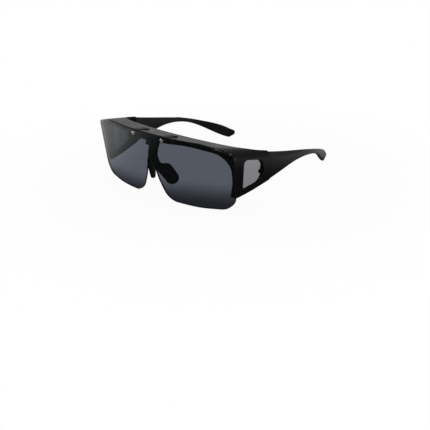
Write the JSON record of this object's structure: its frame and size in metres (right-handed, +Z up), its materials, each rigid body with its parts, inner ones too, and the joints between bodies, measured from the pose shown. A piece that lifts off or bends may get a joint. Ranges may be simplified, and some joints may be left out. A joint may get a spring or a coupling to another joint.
{
  "type": "flip-up fitover sunglasses",
  "caption": "Wraparound fitover sunglasses with a one-piece smoke shield that flips up, side windows, a nose bridge with pads and folding temples.",
  "frame": {"origin": "centre of the bounding box, on the surface that the pair lies on with its temples open and its lens closed", "axes": "+Y from the lens towards the temple tips, +Z up from the surface, +X to the wearer's left"},
  "size_m": [0.1466, 0.1626, 0.0516],
  "materials": {
    "frame_plastic": "satin black injection moulding",
    "nose_plastic": "soft satin black",
    "arm_plastic": "satin black",
    "smoke_lens": "polished smoke grey, transparent",
    "grip_plastic": "fine stippled black",
    "nylon": "plain black nylon",
    "steel": "bright plated steel"
  },
  "bodies": {
    "front": {"flip_friction_washer_left": "nylon", "flip_friction_washer_right": "nylon", "flip_hinge_pin_left": "steel", "flip_hinge_pin_right": "steel", "front_frame": "frame_plastic", "nose_bridge": "nose_plastic", "side_lens_left": "smoke_lens", "side_lens_right": "smoke_lens", "temple_hinge_screw_left": "steel", "temple_hinge_screw_right": "steel"},
    "flip_lens": {"flip_arm_left": "arm_plastic", "flip_arm_right": "arm_plastic", "lens_screw_left": "steel", "lens_screw_right": "steel", "lens_washer_left": "nylon", "lens_washer_right": "nylon", "shield_lens": "smoke_lens"},
    "temple_left": {"temple_grip_left": "grip_plastic", "temple_left": "frame_plastic"},
    "temple_right": {"temple_grip_right": "grip_plastic", "temple_right": "frame_plastic"}
  },
  "joints": [
    {"name": "lens_flip", "type": "hinge", "parent": "front", "child": "flip_lens", "pos_m": [0, -0.06743, 0.04762], "axis": [-1, 0, 0], "range_deg": [0, 100]},
    {"name": "temple_left_fold", "type": "hinge", "parent": "front", "child": "temple_left", "pos_m": [0.06551, -0.02577, 0.03155], "axis": [0, 0.2093, 0.9779], "range_deg": [0, 92]},
    {"name": "temple_right_fold", "type": "hinge", "parent": "front", "child": "temple_right", "pos_m": [-0.06551, -0.02577, 0.03155], "axis": [0, -0.2093, -0.9779], "range_deg": [0, 77]}
  ]
}
